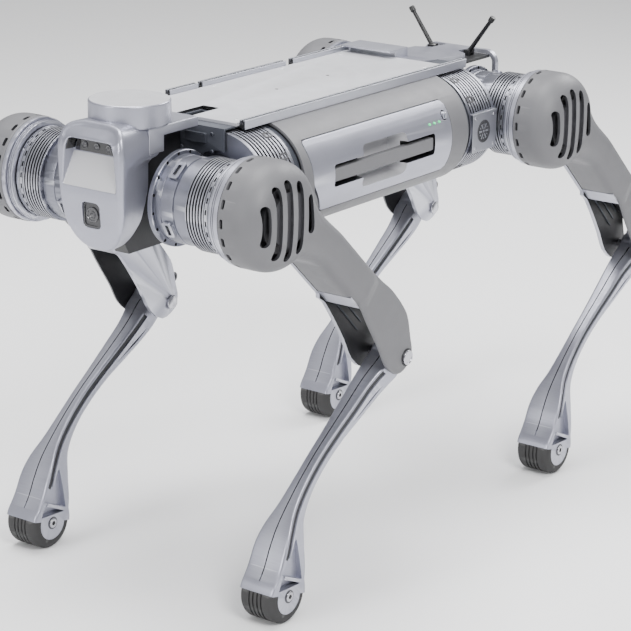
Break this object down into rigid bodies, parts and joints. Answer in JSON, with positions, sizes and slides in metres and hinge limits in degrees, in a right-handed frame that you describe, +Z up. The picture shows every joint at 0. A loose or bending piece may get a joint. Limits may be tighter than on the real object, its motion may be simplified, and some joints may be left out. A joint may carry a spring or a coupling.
{
  "type": "quadruped robot",
  "caption": "Four-legged walking robot with a lidar, a head camera, a slide-out battery and a load deck with rails; every leg has abduction, hip and rod-driven knee joints.",
  "frame": {"origin": "on the floor, at the bottom centre of the whole robot's bounding box in its standing pose", "axes": "+X forward towards the head, +Y to the robot's left, +Z up"},
  "size_m": [1.035, 0.464, 0.6514],
  "materials": {
    "satin_silver": "satin, bead blasted and clear anodised",
    "plate_silver": "fine matte, lighter than the castings",
    "motor_silver": "machined fins, satin",
    "rail_silver": "extruded, satin",
    "grey_plastic": "fine grained moulded plastic",
    "black_plastic": "matte moulded plastic",
    "black_metal": "black anodised",
    "steel": "turned steel",
    "sole_rubber": "matte rubber with a light grain",
    "antenna_rubber": "smooth black rubber over a rod",
    "lamp_glass": "dark gloss window over three lamps",
    "lens_glass": "dark gloss window with a round lens",
    "led_green": "small green indicator lamps"
  },
  "bodies": {
    "trunk": {"trunk_frame": "black_metal", "side_shell_left": "grey_plastic", "side_shell_right": "grey_plastic", "top_plate": "plate_silver", "top_rails": "rail_silver", "belly_plate": "grey_plastic", "abduction_motors": "motor_silver", "head_shell": "satin_silver", "end_brackets": "black_plastic", "neck_cover": "satin_silver", "light_bar": "lamp_glass", "head_camera": "lens_glass", "lidar": "plate_silver", "rear_cover": "satin_silver"},
    "battery": {"battery_pack": "satin_silver", "battery_handle": "grey_plastic", "charge_leds": "led_green"},
    "power_button": {"power_button": "satin_silver"},
    "antenna_left": {"antenna_left": "antenna_rubber"},
    "antenna_right": {"antenna_right": "antenna_rubber"},
    "fl_hip": {"fl_hip_bracket": "satin_silver", "fl_hip_motor": "motor_silver"},
    "fl_thigh": {"fl_thigh_shell": "satin_silver", "fl_thigh_cover": "grey_plastic", "fl_knee_motor": "black_metal"},
    "fl_shank": {"fl_shank": "satin_silver", "fl_foot_sole": "sole_rubber", "fl_shank_pins": "steel"},
    "fl_crank": {"fl_knee_crank": "steel"},
    "fl_rod": {"fl_knee_rod": "black_metal"},
    "fr_hip": {"fr_hip_bracket": "satin_silver", "fr_hip_motor": "motor_silver"},
    "fr_thigh": {"fr_thigh_shell": "satin_silver", "fr_thigh_cover": "grey_plastic", "fr_knee_motor": "black_metal"},
    "fr_shank": {"fr_shank": "satin_silver", "fr_foot_sole": "sole_rubber", "fr_shank_pins": "steel"},
    "fr_crank": {"fr_knee_crank": "steel"},
    "fr_rod": {"fr_knee_rod": "black_metal"},
    "rl_hip": {"rl_hip_bracket": "satin_silver", "rl_hip_motor": "motor_silver"},
    "rl_thigh": {"rl_thigh_shell": "satin_silver", "rl_thigh_cover": "grey_plastic", "rl_knee_motor": "black_metal"},
    "rl_shank": {"rl_shank": "satin_silver", "rl_foot_sole": "sole_rubber", "rl_shank_pins": "steel"},
    "rl_crank": {"rl_knee_crank": "steel"},
    "rl_rod": {"rl_knee_rod": "black_metal"},
    "rr_hip": {"rr_hip_bracket": "satin_silver", "rr_hip_motor": "motor_silver"},
    "rr_thigh": {"rr_thigh_shell": "satin_silver", "rr_thigh_cover": "grey_plastic", "rr_knee_motor": "black_metal"},
    "rr_shank": {"rr_shank": "satin_silver", "rr_foot_sole": "sole_rubber", "rr_shank_pins": "steel"},
    "rr_crank": {"rr_knee_crank": "steel"},
    "rr_rod": {"rr_knee_rod": "black_metal"}
  },
  "joints": [
    {"name": "fl_abduction", "type": "hinge", "parent": "trunk", "child": "fl_hip", "pos_m": [0.4205, 0.072, 0.5236], "axis": [1, 0, 0], "range_deg": [-35, 35]},
    {"name": "fl_hip_pitch", "type": "hinge", "parent": "fl_hip", "child": "fl_thigh", "pos_m": [0.4205, 0.1585, 0.5236], "axis": [0, 1, 0], "range_deg": [-101, 221]},
    {"name": "fl_knee", "type": "hinge", "parent": "fl_thigh", "child": "fl_shank", "pos_m": [0.16349, 0.1965, 0.28602], "axis": [0, 1, 0], "range_deg": [-66, 67]},
    {"name": "fl_crank_turn", "type": "hinge", "parent": "fl_thigh", "child": "fl_crank", "pos_m": [0.4205, 0.1845, 0.5236], "axis": [0, 1, 0], "range_deg": [-66, 67]},
    {"name": "fl_rod_turn", "type": "hinge", "parent": "fl_crank", "child": "fl_rod", "pos_m": [0.40407, 0.1764, 0.5545], "axis": [0, 1, 0], "range_deg": [-67, 66]},
    {"name": "fr_abduction", "type": "hinge", "parent": "trunk", "child": "fr_hip", "pos_m": [0.4205, -0.072, 0.5236], "axis": [1, 0, 0], "range_deg": [-35, 35]},
    {"name": "fr_hip_pitch", "type": "hinge", "parent": "fr_hip", "child": "fr_thigh", "pos_m": [0.4205, -0.1585, 0.5236], "axis": [0, 1, 0], "range_deg": [-101, 221]},
    {"name": "fr_knee", "type": "hinge", "parent": "fr_thigh", "child": "fr_shank", "pos_m": [0.16349, -0.1965, 0.28602], "axis": [0, 1, 0], "range_deg": [-66, 67]},
    {"name": "fr_crank_turn", "type": "hinge", "parent": "fr_thigh", "child": "fr_crank", "pos_m": [0.4205, -0.1845, 0.5236], "axis": [0, 1, 0], "range_deg": [-66, 67]},
    {"name": "fr_rod_turn", "type": "hinge", "parent": "fr_crank", "child": "fr_rod", "pos_m": [0.40407, -0.1764, 0.5545], "axis": [0, 1, 0], "range_deg": [-67, 66]},
    {"name": "rl_abduction", "type": "hinge", "parent": "trunk", "child": "rl_hip", "pos_m": [-0.2365, 0.072, 0.5236], "axis": [1, 0, 0], "range_deg": [-35, 50]},
    {"name": "rl_hip_pitch", "type": "hinge", "parent": "rl_hip", "child": "rl_thigh", "pos_m": [-0.2365, 0.1585, 0.5236], "axis": [0, 1, 0], "range_deg": [-47, 221]},
    {"name": "rl_knee", "type": "hinge", "parent": "rl_thigh", "child": "rl_shank", "pos_m": [-0.49351, 0.1965, 0.28602], "axis": [0, 1, 0], "range_deg": [-66, 67]},
    {"name": "rl_crank_turn", "type": "hinge", "parent": "rl_thigh", "child": "rl_crank", "pos_m": [-0.2365, 0.1845, 0.5236], "axis": [0, 1, 0], "range_deg": [-66, 67]},
    {"name": "rl_rod_turn", "type": "hinge", "parent": "rl_crank", "child": "rl_rod", "pos_m": [-0.25293, 0.1764, 0.5545], "axis": [0, 1, 0], "range_deg": [-67, 66]},
    {"name": "rr_abduction", "type": "hinge", "parent": "trunk", "child": "rr_hip", "pos_m": [-0.2365, -0.072, 0.5236], "axis": [1, 0, 0], "range_deg": [-50, 35]},
    {"name": "rr_hip_pitch", "type": "hinge", "parent": "rr_hip", "child": "rr_thigh", "pos_m": [-0.2365, -0.1585, 0.5236], "axis": [0, 1, 0], "range_deg": [-47, 221]},
    {"name": "rr_knee", "type": "hinge", "parent": "rr_thigh", "child": "rr_shank", "pos_m": [-0.49351, -0.1965, 0.28602], "axis": [0, 1, 0], "range_deg": [-66, 67]},
    {"name": "rr_crank_turn", "type": "hinge", "parent": "rr_thigh", "child": "rr_crank", "pos_m": [-0.2365, -0.1845, 0.5236], "axis": [0, 1, 0], "range_deg": [-66, 67]},
    {"name": "rr_rod_turn", "type": "hinge", "parent": "rr_crank", "child": "rr_rod", "pos_m": [-0.25293, -0.1764, 0.5545], "axis": [0, 1, 0], "range_deg": [-67, 66]},
    {"name": "battery_slide", "type": "slide", "parent": "trunk", "child": "battery", "axis": [0, -1, 0], "range_m": [-0.2, 0]},
    {"name": "power_button_press", "type": "slide", "parent": "battery", "child": "power_button", "axis": [0, -1, 0], "range_m": [0, 0.0015], "stiffness_N_per_m": 600},
    {"name": "antenna_left_tilt", "type": "hinge", "parent": "trunk", "child": "antenna_left", "pos_m": [-0.273, 0.031, 0.5946], "axis": [1, 0, 0], "range_deg": [-20, 60]},
    {"name": "antenna_right_tilt", "type": "hinge", "parent": "trunk", "child": "antenna_right", "pos_m": [-0.273, -0.031, 0.5946], "axis": [1, 0, 0], "range_deg": [-60, 20]}
  ],
  "couplings": [
    {"joint": "fl_crank_turn", "follows": "fl_knee", "ratio": 1},
    {"joint": "fl_rod_turn", "follows": "fl_knee", "ratio": -1},
    {"joint": "fr_crank_turn", "follows": "fr_knee", "ratio": 1},
    {"joint": "fr_rod_turn", "follows": "fr_knee", "ratio": -1},
    {"joint": "rl_crank_turn", "follows": "rl_knee", "ratio": 1},
    {"joint": "rl_rod_turn", "follows": "rl_knee", "ratio": -1},
    {"joint": "rr_crank_turn", "follows": "rr_knee", "ratio": 1},
    {"joint": "rr_rod_turn", "follows": "rr_knee", "ratio": -1}
  ]
}
